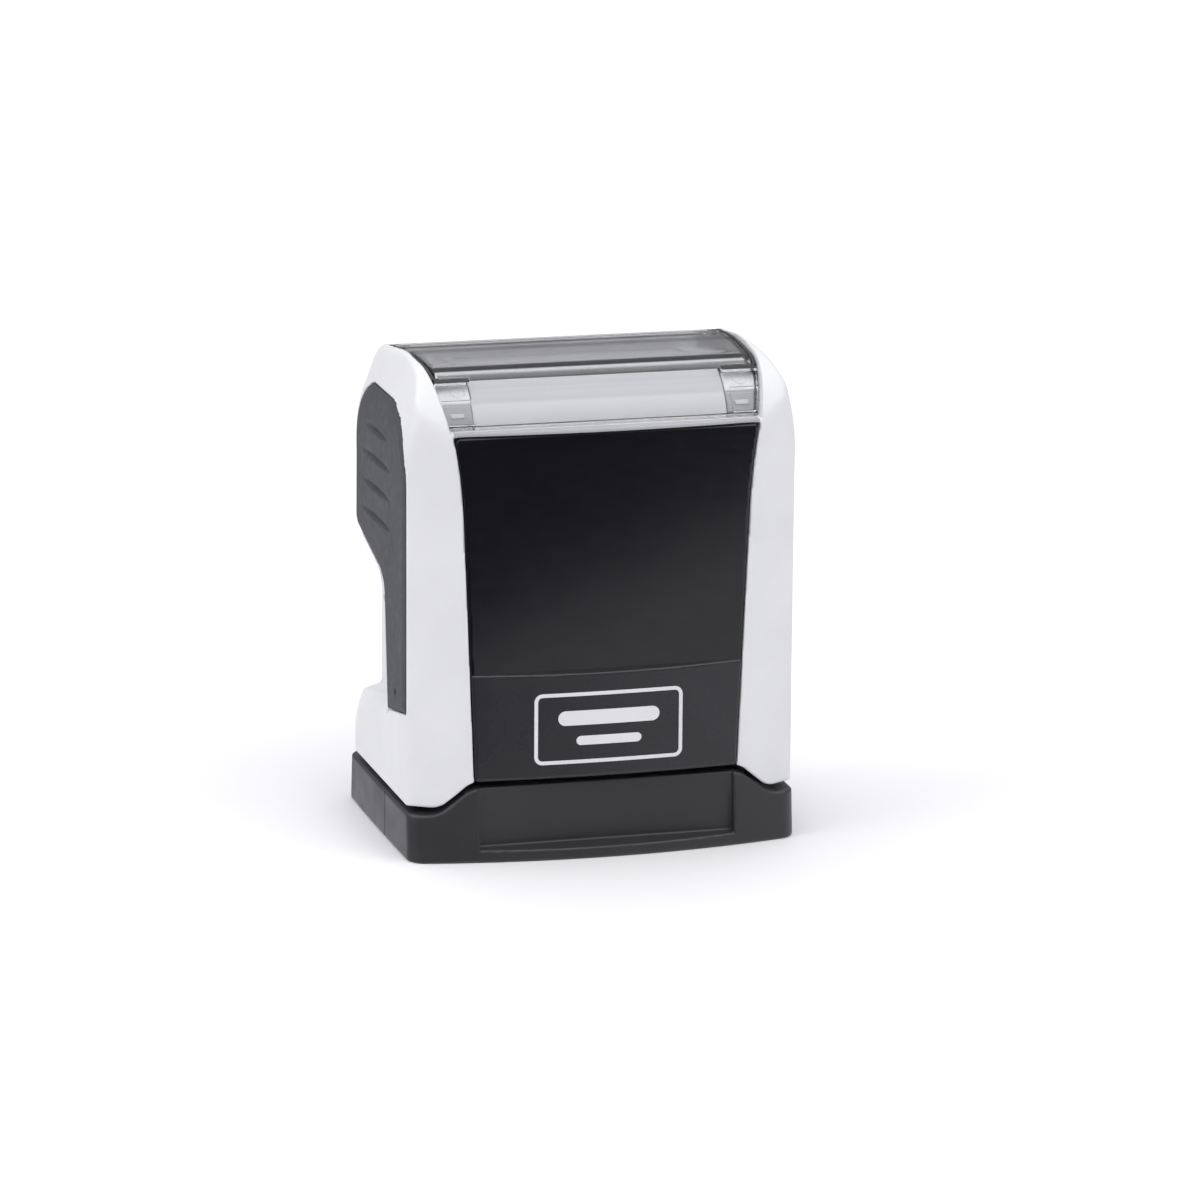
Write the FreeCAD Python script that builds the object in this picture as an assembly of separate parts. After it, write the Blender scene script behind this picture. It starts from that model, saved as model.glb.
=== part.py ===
import FreeCAD, Part
import math
import os

# Self-inking stamp, pressed down in its storage cap.  Millimetres, +Z up.
# Origin: centre of the cap's underside.  -Y is the front, which carries the two dark panels.

# ---- overall size ----
half_width = 21.5
travel = 16.0
shell_bottom = 5.9
step_outer_x = 18.2
step_inner_x = 14.9
panel_bottom = 8.7
shell_top_crown = 0.35

# ---- outline of the handle seen from above ----
side_corner_y = 12.2
panel_corner_x = 15.0
shell_half_depth = 14.8
cheek_mid = (18.43, 13.95)
shell_edge_radius = 1.8

# ---- outline of the handle seen from the side and from the front ----
shoulder_radius = 9.4
shoulder_z = 43.2
lean_start_z = 43.0
lean_radius = 20.8

# ---- panels and window ----
panel_seam_z = 20.4
panel_top_z = 46.1
panel_half_bottom = 14.6
panel_half_middle = 15.75
panel_middle_z = 37.0
panel_half_top = 16.8
panel_thickness = 1.5
panel_corner_radius = 0.7
lower_panel_bulge = 0.8
window_bottom_z = 46.6
window_half_bottom = 17.07
window_half_top = 18.25
window_thickness = 1.3
window_half_depth = 13.4
window_radius = 8.0
window_side_top_z = 52.35
window_top_z = 52.3
window_crown = 0.25
part_gap = 0.1

# ---- inside of the handle ----
cavity_half_x = 16.9
cavity_half_y = 11.9
deck_under_z = 44.4
deck_top_z = 45.6
scoop_depth = 3.3

# ---- soft grips ----
grip_grooves = ((34.5, 6.5), (37.7, 6.4), (40.9, 6.6), (44.0, 4.8))
grip_groove_y = 0.4
grip_groove_half = 0.75
grip_proud = 0.15

# ---- lock buttons ----
lock_x = 11.2
lock_z = 42.6
lock_stem_radius = 1.3
lock_head_radius = 1.9

# ---- storage cap ----
cap_corner_z = 5.2
cap_middle_z = 8.0
cap_floor = 1.2
cap_wall = 1.5
cap_base_bulge = 16.8
cap_top_bulge = 15.9
cap_front_sagitta = 2.2
cap_front_half = 20.0
cap_draft_height = 9.0

# ---- inner frame and the turning die ----
frame_foot_z = 1.4
frame_half_x = 16.4
frame_half_y = 11.6
frame_wall_x = 1.6
frame_wall_y = 1.1
frame_top_z = 39.9
axle_z = 9.6
axle_radius = 1.25
axle_bore_end = 18.2
axle_clearance = 0.05
die_reach = 8.0
cam_reach = 5.5
cam_pin_radius = 1.1
cam_clearance = 0.12
groove_depth = 1.0
carrier_half_x = 14.5

# ---- ink cartridge ----
cartridge_shelf_z = 33.4
cartridge_bottom_z = 33.7
pad_face_z = 33.8
cartridge_top_z = 38.4
cartridge_half_x = 14.5
cartridge_half_y = 8.2


def block(x0, x1, y0, y1, z0, z1):
    corner = FreeCAD.Vector(x0, y0, z0)
    return Part.makeBox(x1 - x0, y1 - y0, z1 - z0, corner)


def rod(radius, start, end):
    base = FreeCAD.Vector(*start)
    along = FreeCAD.Vector(*end) - base
    return Part.makeCylinder(radius, along.Length, base, along)


def line(a, b):
    return Part.LineSegment(FreeCAD.Vector(*a), FreeCAD.Vector(*b)).toShape()


def arc(a, b, c):
    return Part.Arc(FreeCAD.Vector(*a), FreeCAD.Vector(*b), FreeCAD.Vector(*c)).toShape()


def polygon_prism(points, direction):
    corners = [FreeCAD.Vector(*p) for p in points]
    wire = Part.makePolygon(corners + corners[:1])
    return Part.Face(wire).extrude(FreeCAD.Vector(*direction))


def prism_along_y(points_xz, y0, y1):
    return polygon_prism([(x, y0, z) for x, z in points_xz], (0, y1 - y0, 0))


def prism_along_x(points_yz, x0, x1):
    return polygon_prism([(x0, y, z) for y, z in points_yz], (x1 - x0, 0, 0))


def mirror_x(shape):
    return shape.mirror(FreeCAD.Vector(0, 0, 0), FreeCAD.Vector(1, 0, 0))


def mirror_y(shape):
    return shape.mirror(FreeCAD.Vector(0, 0, 0), FreeCAD.Vector(0, 1, 0))


def group(shapes):
    return Part.makeCompound(shapes)


def both_sides(shape):
    return group([shape, mirror_x(shape)])


def joined(shape, *others):
    return shape.fuse(list(others)).removeSplitter()


def save(name, shape):
    shape.exportStep("parts/" + name + ".step")


# ---- outlines of the handle ----

def rounded_plan(side_x, corner_y, front_x, front_y, bulge_y, mid, z):
    """Closed outline seen from above: bulged front and back, rounded cheeks, straight sides."""
    mid_x, mid_y = mid
    edges = [
        arc((-front_x, -front_y, z), (0, -bulge_y, z), (front_x, -front_y, z)),
        arc((front_x, -front_y, z), (mid_x, -mid_y, z), (side_x, -corner_y, z)),
        line((side_x, -corner_y, z), (side_x, corner_y, z)),
        arc((side_x, corner_y, z), (mid_x, mid_y, z), (front_x, front_y, z)),
        arc((front_x, front_y, z), (0, bulge_y, z), (-front_x, front_y, z)),
        arc((-front_x, front_y, z), (-mid_x, mid_y, z), (-side_x, corner_y, z)),
        line((-side_x, corner_y, z), (-side_x, -corner_y, z)),
        arc((-side_x, -corner_y, z), (-mid_x, -mid_y, z), (-front_x, -front_y, z)),
    ]
    return Part.Wire(edges)


def handle_plan_solid(inset, bulge):
    plan = rounded_plan(
        half_width - inset,
        side_corner_y - inset,
        panel_corner_x,
        shell_half_depth - inset,
        shell_half_depth + bulge - inset,
        (cheek_mid[0] - inset, cheek_mid[1] - inset),
        0,
    )
    return Part.Face(plan).extrude(FreeCAD.Vector(0, 0, 60))


def arched_solid(depth, radius, top_z, crown):
    """Everything inside a side view with upright ends, rounded shoulders and a crowned top."""
    x = -30
    centre_y = depth - radius
    centre_z = top_z - radius
    slant_y = centre_y + radius * math.sqrt(0.5)
    slant_z = centre_z + radius * math.sqrt(0.5)
    edges = [
        line((x, -depth, 0), (x, -depth, centre_z)),
        arc((x, -depth, centre_z), (x, -slant_y, slant_z), (x, -centre_y, top_z)),
        arc((x, -centre_y, top_z), (x, 0, top_z + crown), (x, centre_y, top_z)),
        arc((x, centre_y, top_z), (x, slant_y, slant_z), (x, depth, centre_z)),
        line((x, depth, centre_z), (x, depth, 0)),
        line((x, depth, 0), (x, -depth, 0)),
    ]
    return Part.Face(Part.Wire(edges)).extrude(FreeCAD.Vector(60, 0, 0))


def handle_side_solid():
    top = shoulder_z + shoulder_radius
    return arched_solid(shell_half_depth, shoulder_radius, top, shell_top_crown)


def window_side_solid(inset):
    depth = window_half_depth - inset
    return arched_solid(depth, window_radius - inset, window_top_z - inset, window_crown)


def lean_x(z):
    rise = z - lean_start_z
    return half_width - lean_radius + math.sqrt(lean_radius ** 2 - rise ** 2)


def handle_front_solid():
    """Everything inside the handle's outline seen from the front."""
    y = -30
    start = (half_width, y, lean_start_z)
    middle = (lean_x(49), y, 49)
    end = (lean_x(55), y, 55)
    edges = [
        line((half_width, y, 0), start),
        arc(start, middle, end),
        line(end, (-end[0], y, 55)),
        arc((-end[0], y, 55), (-middle[0], y, 49), (-half_width, y, lean_start_z)),
        line((-half_width, y, lean_start_z), (-half_width, y, 0)),
        line((-half_width, y, 0), (half_width, y, 0)),
    ]
    return Part.Face(Part.Wire(edges)).extrude(FreeCAD.Vector(0, 60, 0))


def handle_block():
    """The whole handle as one rounded block, before anything is cut into it."""
    raw = handle_plan_solid(0, 0.8).common(handle_side_solid()).common(handle_front_solid())
    corners = []
    for edge in raw.Edges:
        box = edge.BoundBox
        one_side = box.XMax * box.XMin > 0
        outer = max(abs(box.XMin), abs(box.XMax)) > 18.9
        if one_side and outer and box.ZMax > 20 and box.YLength < 20:
            corners.append(edge)
    return raw.makeFillet(shell_edge_radius, corners)


# ---- openings in the front and back of the handle ----

def panel_outline(inset, z0, z1, y0, y1):
    """Prism of the panel's outline: nearly straight low down, flaring towards the window."""
    mid_z = (panel_middle_z + panel_top_z) / 2
    mid_x = panel_half_middle + 0.32
    left = [
        line((-panel_half_bottom + inset, y0, panel_bottom), (-panel_half_middle + inset, y0, panel_middle_z)),
        arc(
            (-panel_half_middle + inset, y0, panel_middle_z),
            (-mid_x + inset, y0, mid_z),
            (-panel_half_top + inset, y0, panel_top_z),
        ),
    ]
    right = [edge.mirror(FreeCAD.Vector(0, 0, 0), FreeCAD.Vector(1, 0, 0)) for edge in left]
    caps = [
        line((-panel_half_top + inset, y0, panel_top_z), (panel_half_top - inset, y0, panel_top_z)),
        line((-panel_half_bottom + inset, y0, panel_bottom), (panel_half_bottom - inset, y0, panel_bottom)),
    ]
    wire = Part.Wire(Part.__sortEdges__(left + right + caps))
    prism = Part.Face(wire).extrude(FreeCAD.Vector(0, y1 - y0, 0))
    return prism.common(block(-30, 30, -30, 30, z0, z1))


def window_outline(inset, bottom):
    """Prism through the handle from front to back, as wide as the window."""
    low = window_half_bottom - inset
    high = window_half_top - inset
    side_top = window_side_top_z
    points = [(-low, bottom), (low, bottom), (high, side_top), (high, 60), (-high, 60), (-high, side_top)]
    return prism_along_y(points, -30, 30)


def shell_underside():
    """Space below the handle: low corners, raised in the middle over the cap's rim."""
    points = [
        (-30, -10), (30, -10), (30, shell_bottom), (step_outer_x, shell_bottom),
        (step_inner_x, panel_bottom), (-step_inner_x, panel_bottom),
        (-step_outer_x, shell_bottom), (-30, shell_bottom),
    ]
    return prism_along_y(points, -30, 30)


def side_scoop():
    """Finger hollow in the right side, open to the back, with a sloping floor and roof."""
    floor_x = half_width - scoop_depth
    outside = half_width + 5
    upper = prism_along_y([(outside, 16), (floor_x, 16), (floor_x, 25.5), (half_width, 32), (outside, 32)], -4.2, 20)
    slope = 0.2
    crease = 14.4
    points = [
        (outside, crease), (half_width, crease), (half_width - 1, crease + 1.6),
        (floor_x, crease + 2.1), (floor_x, 24), (outside, 24),
    ]
    lower = polygon_prism([(x, -4.2, z) for x, z in points], (0, 24, -24 * slope))
    return upper.fuse(lower)


def grip_outline(x0, x1, inset):
    """Side view of the soft grip: a wide pad above, a strip along the front edge below."""
    i = inset
    y_front = -side_corner_y + 0.1 + i
    edges = [
        line((x0, y_front, 15.9 + i), (x0, y_front, 43.6)),
        arc((x0, y_front, 43.6), (x0, -9.6 + i, 46.8 - i), (x0, -5.3, 48.3 - i)),
        line((x0, -5.3, 48.3 - i), (x0, 4.3, 47.7 - i)),
        arc((x0, 4.3, 47.7 - i), (x0, 8.6 - i, 45.2 - i), (x0, 10.4 - i, 40)),
        line((x0, 10.4 - i, 40), (x0, 10.7 - i, 32.2 + i)),
        line((x0, 10.7 - i, 32.2 + i), (x0, 0.3, 29.5 + i)),
        arc((x0, 0.3, 29.5 + i), (x0, -1.9 - i, 28.4 + i), (x0, -2.7 - i, 26.0)),
        line((x0, -2.7 - i, 26.0), (x0, -3.9 - i, 14.5 + i)),
        line((x0, -3.9 - i, 14.5 + i), (x0, y_front, 15.9 + i)),
    ]
    return Part.Face(Part.Wire(edges)).extrude(FreeCAD.Vector(x1 - x0, 0, 0))


# ---- handle pieces ----

def handle_shell():
    shell = handle_block()
    shell = shell.cut(shell_underside())
    cavity = block(-cavity_half_x, cavity_half_x, -cavity_half_y, cavity_half_y, 0, deck_under_z)
    shell = shell.cut(cavity)
    shell = shell.cut(block(-19.8, 19.8, -11.0, 11.0, 0, 7.4))
    pocket = panel_outline(0, 0, panel_top_z, -30, -shell_half_depth + panel_thickness + part_gap)
    shell = shell.cut(pocket)
    shell = shell.cut(mirror_y(pocket))
    shell = shell.cut(window_outline(0, deck_top_z))
    scoop = side_scoop()
    shell = shell.cut(scoop).cut(mirror_x(scoop))
    seat = grip_outline(half_width - 1.0, half_width + 5, 0)
    shell = shell.cut(seat).cut(mirror_x(seat))
    shell = shell.cut(cartridge_port())
    bore = rod(axle_radius, (-axle_bore_end, 0, axle_z), (axle_bore_end, 0, axle_z))
    shell = shell.cut(bore)
    return shell.cut(lock_holes(lock_stem_radius + 0.2, 10))


def cartridge_port():
    """Tall opening in the back, so the cartridge comes out at any height of the handle."""
    return block(-15.0, 15.0, 5, 30, 16.6, 39.4)


def grip():
    pad = grip_outline(half_width - 1.0 + part_gap, half_width + grip_proud, part_gap)
    pad = pad.common(handle_plan_solid(-grip_proud, 0.8)).common(handle_front_solid_grown(grip_proud))
    for z, half_length in grip_grooves:
        pad = pad.cut(lens_groove(z, half_length))
    dimple = rod(0.4, (half_width - 0.3, -8.1, 17.4), (half_width + 5, -8.1, 17.4))
    return pad.cut(dimple)


def lens_groove(z, half_length):
    """Shallow finger groove, pointed at both ends."""
    x = half_width - 0.3
    front = (x, grip_groove_y - half_length, z)
    back = (x, grip_groove_y + half_length, z)
    edges = [
        arc(front, (x, grip_groove_y, z + grip_groove_half), back),
        arc(back, (x, grip_groove_y, z - grip_groove_half), front),
    ]
    return Part.Face(Part.Wire(edges)).extrude(FreeCAD.Vector(5, 0, 0))


def handle_front_solid_grown(extra):
    grown = handle_front_solid()
    return grown.fuse([grown.translated(FreeCAD.Vector(extra, 0, 0)), grown.translated(FreeCAD.Vector(-extra, 0, 0))])


def upper_panel():
    """Flat glossy plate with rounded top corners."""
    y0 = -shell_half_depth + 0.15
    plate = panel_outline(part_gap, panel_seam_z, panel_top_z - part_gap, y0, y0 + panel_thickness - 0.15)
    corners = [e for e in plate.Edges if e.BoundBox.ZMin > panel_top_z - 0.2 and e.BoundBox.XLength < 0.1]
    return plate.makeFillet(panel_corner_radius, corners)


def lower_panel():
    """Bulged plate that stands proud of the upper one and makes a narrow ledge at the seam."""
    back_y = -shell_half_depth + panel_thickness
    outline = panel_outline(part_gap, panel_bottom, panel_seam_z - 0.05, -30, back_y)
    return outline.common(handle_plan_solid(0, lower_panel_bulge))


def back_upper_panel():
    plate = mirror_y(upper_panel())
    return plate.common(block(-30, 30, 0, 30, 39.5, 60))


def back_lower_panel():
    plate = mirror_y(lower_panel())
    return plate.common(block(-30, 30, 0, 30, 0, 16.5))


def window_cover():
    """Clear cover over the top: a bent wall with two solid end blocks."""
    outer = window_outline(part_gap, window_bottom_z).common(window_side_solid(0))
    hollow = window_side_solid(window_thickness).common(block(-13.9, 13.9, -30, 30, 0, 60))
    cover = outer.cut(hollow)
    return cover.cut(block(-30, 30, -10.9, 10.9, 0, 49.4))


def index_card():
    """Card bent along the inside of the window's front."""
    sheet = window_side_solid(window_thickness + 0.1).cut(window_side_solid(window_thickness + 0.35))
    return sheet.common(block(-13.6, 13.6, -30, -8.5, window_bottom_z, 60))


def card_tray():
    """Dark tray on the handle's deck, below the window and behind the card."""
    solid = window_side_solid(window_thickness + 0.65)
    tray = solid.common(block(-13.6, 13.6, -30, 30, deck_top_z, 60))
    return tray.cut(block(-12.6, 12.6, -5.2, 5.2, deck_top_z + 1.4, 60))


def window_latches():
    """Two latch strips that hold the window's ends down to the deck."""
    strip = block(14.3, 16.6, -10.6, 10.6, deck_top_z, 49.1)
    return both_sides(strip.cut(block(14, 17, -6, 6, deck_top_z + 1.6, 60)))


def axle():
    return rod(axle_radius, (-17.6, 0, axle_z), (17.6, 0, axle_z))


# ---- storage cap ----

def cap_plan(bulge, z):
    """Bowed front and back with rounded corners and straight sides."""
    corner_y = bulge - cap_front_sagitta
    side_y = side_corner_y
    mid_x = half_width - 0.42
    mid_y = (corner_y + side_y) / 2 + 0.42
    return rounded_plan(half_width, side_y, cap_front_half, corner_y, bulge, (mid_x, mid_y), z)


def base_cap():
    """Tray with a flared front and back, low at the corners and high in the middle."""
    low = cap_plan(cap_base_bulge, 0)
    high = cap_plan(cap_top_bulge, cap_draft_height)
    body = Part.makeLoft([low, high], True, True)
    inner = block(-half_width + cap_wall, half_width - cap_wall, -10.9, 10.9, cap_floor, 20)
    inner = inner.fuse(block(-16.9, 16.9, -12.1, 12.1, cap_floor, 20))
    body = body.cut(inner)
    rim = prism_along_y(
        [
            (-30, cap_corner_z), (-step_outer_x - 0.2, cap_corner_z), (-step_inner_x, cap_middle_z),
            (step_inner_x, cap_middle_z), (step_outer_x + 0.2, cap_corner_z), (30, cap_corner_z),
            (30, 20), (-30, 20),
        ],
        -30, 30,
    )
    body = body.cut(rim)
    plaque = prism_along_x([(-30, 0.6), (-17.2, 1.15), (-14.55, 1.5), (-14.55, 20), (-30, 20)], -14.1, 14.1)
    body = body.cut(plaque).cut(mirror_y(plaque))
    seam = block(half_width - 0.12, 30, -3.3, -3.1, -5, 20)
    return body.cut(seam).cut(mirror_x(seam))


# ---- inner frame ----

def foot_ring():
    """Foot of the frame: the ring that stands on the paper around the die."""
    ring = block(-19.7, 19.7, -10.6, 10.6, frame_foot_z, 5.2)
    return ring.cut(block(-15.2, 15.2, -9.9, 9.9, 0, 10))


def cam_path(turn):
    """Centre of the cam pin, in Y and Z, after the die has turned by this angle."""
    height = axle_z + travel * turn / math.pi
    return cam_reach * math.cos(turn), height + cam_reach * math.sin(turn)


def cam_groove():
    """Track swept by the cam pin and its clearance, cut in the wall's inner face."""
    steps = 24
    radius = cam_pin_radius + cam_clearance
    start_x = frame_half_x - frame_wall_x - 0.5
    depth = 0.5 + groove_depth
    centres = [cam_path(math.pi * step / steps) for step in range(steps + 1)]
    pieces = [rod(radius, (start_x, y, z), (start_x + depth, y, z)) for y, z in centres]
    for (y0, z0), (y1, z1) in zip(centres, centres[1:]):
        length = math.hypot(y1 - y0, z1 - z0)
        side_y = -(z1 - z0) / length * radius
        side_z = (y1 - y0) / length * radius
        corners = [
            (start_x, y0 + side_y, z0 + side_z), (start_x, y1 + side_y, z1 + side_z),
            (start_x, y1 - side_y, z1 - side_z), (start_x, y0 - side_y, z0 - side_z),
        ]
        pieces.append(polygon_prism(corners, (depth, 0, 0)))
    return pieces[0].fuse(pieces[1:]).removeSplitter()


def inner_frame():
    """Box frame: two side walls with cam tracks and axle slots, a front wall and a roof."""
    body = block(-frame_half_x, frame_half_x, -frame_half_y, frame_half_y, 5.2, frame_top_z)
    inner_x = frame_half_x - frame_wall_x
    inner_y = frame_half_y - frame_wall_y
    body = body.cut(block(-inner_x, inner_x, -inner_y, inner_y, 0, 31.8))
    body = body.cut(block(-13.5, 13.5, -8.8, 8.8, 0, 36))
    body = body.cut(block(-inner_x, inner_x, -8.5, 20, cartridge_shelf_z, cartridge_top_z + 0.3))
    slot = block(-30, 30, -1.4, 1.4, axle_z, axle_z + travel)
    ends = [rod(1.4, (-30, 0, z), (30, 0, z)) for z in (axle_z, axle_z + travel)]
    body = body.cut(slot.fuse(ends))
    groove = cam_groove()
    return body.cut(groove).cut(mirror_x(groove))


def return_spring():
    """Coil spring, closed up, between the frame's roof and the handle's deck."""
    wire_radius = 0.36
    coil_radius = 5.2
    pitch = 0.86
    points_per_turn = 12
    low = frame_top_z + wire_radius + 0.05
    room = deck_under_z - frame_top_z - 2 * wire_radius - 0.1
    points = []
    for step in range(int(room / pitch * points_per_turn) + 1):
        turn = 2 * math.pi * step / points_per_turn
        rise = pitch * step / points_per_turn
        points.append(FreeCAD.Vector(coil_radius * math.cos(turn), coil_radius * math.sin(turn), low + rise))
    centreline = Part.BSplineCurve()
    centreline.interpolate(points)
    start_direction = centreline.tangent(centreline.FirstParameter)[0]
    profile = Part.Wire(Part.Circle(points[0], start_direction, wire_radius).toShape())
    return Part.Wire(centreline.toShape()).makePipeShell([profile], True, True)


# ---- turning die ----

def die_carrier():
    """Hub on the axle with a flat bed for the die plate, end plates and webs."""
    hub = rod(3.0, (-carrier_half_x, 0, axle_z), (carrier_half_x, 0, axle_z))
    bed = block(-13.4, 13.4, -4.9, 4.9, axle_z - 5.2, axle_z - 3.8)
    body = hub.fuse(bed)
    for x in (-carrier_half_x, -5.5, 4.3, carrier_half_x - 1.2):
        web = prism_along_x(
            [
                (-4.6, axle_z - 4.6), (4.6, axle_z - 4.6), (6.3, axle_z - 1.4), (6.6, axle_z + 1.2),
                (2.6, axle_z + 2.6), (-2.6, axle_z + 2.6), (-4.6, axle_z - 0.6),
            ],
            x, x + 1.2,
        )
        body = body.fuse(web)
    body = body.cut(rod(axle_radius + axle_clearance, (-30, 0, axle_z), (30, 0, axle_z)))
    return body.removeSplitter()


def cam_pins():
    start = carrier_half_x
    pin = rod(cam_pin_radius, (start, cam_reach, axle_z), (start + 0.3 + groove_depth - 0.25, cam_reach, axle_z))
    return both_sides(pin)


def die_plate():
    """Plate that clips under the carrier's bed and holds the rubber."""
    return block(-13.2, 13.2, -4.8, 4.8, axle_z - 6.6, axle_z - 5.2)


def text_rubber():
    """Rubber sheet with a raised plain frame and rules, which print as lines."""
    sheet = block(-13.0, 13.0, -4.5, 4.5, axle_z - 7.4, axle_z - 6.6)
    raised = block(-13.0, 13.0, -4.5, 4.5, axle_z - die_reach, axle_z - 7.4)
    raised = raised.cut(block(-12.4, 12.4, -3.9, 3.9, 0, axle_z - 7.4))
    rules = [block(-9, 9, y - 0.35, y + 0.35, axle_z - die_reach, axle_z - 7.4) for y in (-2, 0, 2)]
    return sheet.fuse([raised] + rules)


# ---- ink cartridge ----

def ink_cartridge():
    """Tray that slides into the frame from the back, with a finger pull."""
    half_x = cartridge_half_x
    body = block(-half_x, half_x, -cartridge_half_y, 10.9, cartridge_bottom_z, cartridge_top_z)
    body = body.cut(block(-13.1, 13.1, -4.9, 4.9, 0, 36.6))
    pull = block(-6.0, 6.0, 10.9, 13.0, 34.4, 35.8)
    return joined(body, pull)


def ink_pad():
    """Felt block soaked with ink, a little inside the tray's mouth."""
    return block(-13.1, 13.1, -4.9, 4.9, pad_face_z, 36.6)


# ---- lock buttons ----

def lock_button(side):
    """Round sprung button that is pressed into the back panel."""
    x = side * lock_x
    stem = rod(lock_stem_radius, (x, 12.2, lock_z), (x, 14.9, lock_z))
    head = rod(lock_head_radius, (x, 14.9, lock_z), (x, 15.6, lock_z))
    return joined(stem, head)


def lock_holes(radius, start_y):
    return group([rod(radius, (side * lock_x, start_y, lock_z), (side * lock_x, 20, lock_z)) for side in (-1, 1)])


def main():
    os.makedirs("parts", exist_ok=True)
    save("base_cap", base_cap())
    save("foot_ring", foot_ring())
    save("inner_frame", inner_frame())
    save("return_spring", return_spring())
    save("handle_shell", handle_shell())
    save("left_grip", mirror_x(grip()))
    save("right_grip", grip())
    save("front_upper_panel", upper_panel())
    save("front_lower_panel", lower_panel())
    save("back_upper_panel", back_upper_panel().cut(lock_holes(lock_head_radius + 0.2, 10)))
    save("back_lower_panel", back_lower_panel())
    save("window_cover", window_cover())
    save("index_card", index_card())
    save("card_tray", card_tray())
    save("window_latches", window_latches())
    save("axle", axle())
    save("die_carrier", die_carrier())
    save("cam_pins", cam_pins())
    save("die_plate", die_plate())
    save("text_rubber", text_rubber())
    save("ink_cartridge", ink_cartridge())
    save("ink_pad", ink_pad())
    save("left_lock_button", lock_button(-1))
    save("right_lock_button", lock_button(1))


main()
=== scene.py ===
import math

import bpy
import numpy as np
from mathutils import Matrix, Vector


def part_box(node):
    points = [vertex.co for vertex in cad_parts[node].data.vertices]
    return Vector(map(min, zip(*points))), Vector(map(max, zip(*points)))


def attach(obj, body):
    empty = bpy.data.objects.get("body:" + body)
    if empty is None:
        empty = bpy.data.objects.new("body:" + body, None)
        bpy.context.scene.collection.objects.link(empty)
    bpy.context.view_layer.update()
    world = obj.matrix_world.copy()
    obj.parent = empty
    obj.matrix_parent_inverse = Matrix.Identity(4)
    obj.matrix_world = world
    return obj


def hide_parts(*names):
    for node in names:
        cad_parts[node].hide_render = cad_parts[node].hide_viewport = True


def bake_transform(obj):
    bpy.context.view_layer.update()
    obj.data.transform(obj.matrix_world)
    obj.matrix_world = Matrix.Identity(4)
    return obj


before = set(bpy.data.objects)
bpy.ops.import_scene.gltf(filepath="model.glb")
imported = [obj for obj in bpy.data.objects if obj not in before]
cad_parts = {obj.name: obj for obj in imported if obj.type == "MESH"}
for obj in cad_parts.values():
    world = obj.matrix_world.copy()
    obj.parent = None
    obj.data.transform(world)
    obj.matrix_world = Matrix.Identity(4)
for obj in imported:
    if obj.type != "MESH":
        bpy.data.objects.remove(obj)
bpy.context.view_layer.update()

# The object is a self-inking stamp pressed down in its storage cap.  Fields below are signed
# distances in millimetres, negative inside, and each visible moulding is the zero level of one.
# -Y is the front.  Left and right mirror each other.

MM = 0.001


def cad(node, corner, axis):
    """One side of a CAD node's box, in millimetres."""
    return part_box(node)[corner][axis] / MM


# ---- sizes, from the frame and in millimetres ----

# handle
HALF_WIDTH = cad("handle_shell", 1, 0)
SHELL_LOW = cad("handle_shell", 0, 2)
SHELL_DEPTH = cad("handle_shell", 1, 1)
FRONT_HALF = 15.0
FRONT_SAG = 0.8
CHEEK_R = 12.9
SHOULDER_R = 9.4
SHOULDER_Z = 43.2
CROWN = 0.35
LEAN_Z = 43.0
LEAN_R = 20.8
CAVITY = (16.9, 11.9, 44.4)
CAVITY_EDGE = 0.3
FOOT_ROOM = (19.8, 11.0, 7.4)
PORT_LOW = (-15.0, 5.0, 16.6)
PORT_HIGH = (15.0, 30.0, 39.4)
DECK_TOP = 45.6
LEDGE_TOP = 46.52
LOCK_Z = 42.6
LOCK_X = 11.2
LOCK_HOLE_R = 1.5
STEP_OUT = 18.2
STEP_IN = 14.9

# finger hollow: X of its bottom, then (y, z) of a point on its front wall, roof and floor
SCOOP_X = HALF_WIDTH - 3.3
SCOOP_FRONT = (-3.9, 14.5)
SCOOP_ROOF = (0.3, 29.4)
SCOOP_CREASE = (-4.2, 14.4)

# panels
PANEL_LOW = cad("front_lower_panel", 0, 2)
SEAM_Z = cad("front_upper_panel", 0, 2)
PANEL_TOP = cad("front_upper_panel", 1, 2) + 0.1
PANEL_BULGE = -cad("front_lower_panel", 0, 1)
PANEL_HALF_LOW = 14.6
PANEL_FLARE = 0.0406
PANEL_CURVE_Z = 37.0
PANEL_CURVE = 0.0083
PANEL_GAP = 0.12
PLATE_DEPTH = 1.5
POCKET_Y = 13.2

# window, with places round its front shoulder in degrees from level
WINDOW_DEPTH = 13.4
WINDOW_R = 8.0
WINDOW_TOP = 52.3
WINDOW_CROWN = 0.25
WINDOW_LOW = cad("window_cover", 0, 2)
WINDOW_WALL = 1.3
WINDOW_HALF = 17.07
WINDOW_FLARE_Z = 0.205
WINDOW_FLARE_Y = 0.04
END_BLOCK_X = 13.9
INSERT_X = 13.95
INSERT_GAP = 0.08
RECESS_X = (14.2, 17.7)
CARD_HALF = 13.85
CARD_ANGLE = 69.0
SLOT_ANGLES = (58.5, 63.5)
PAD_ANGLE = 41.0
MARK_ANGLE = 48.5
MARK_X = 15.5
MARK_R = 0.75
LATCH_X = (14.3, 16.6)
LATCH_Y = 10.6
LATCH_TOP = 49.1

# length of one degree round that shoulder, on the cover's outside and on the pieces below it
OUTER_DEGREE = 0.14
INSERT_DEGREE = 0.12
CARD_DEGREE = 0.11
LINER_DEGREE = 0.1

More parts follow.
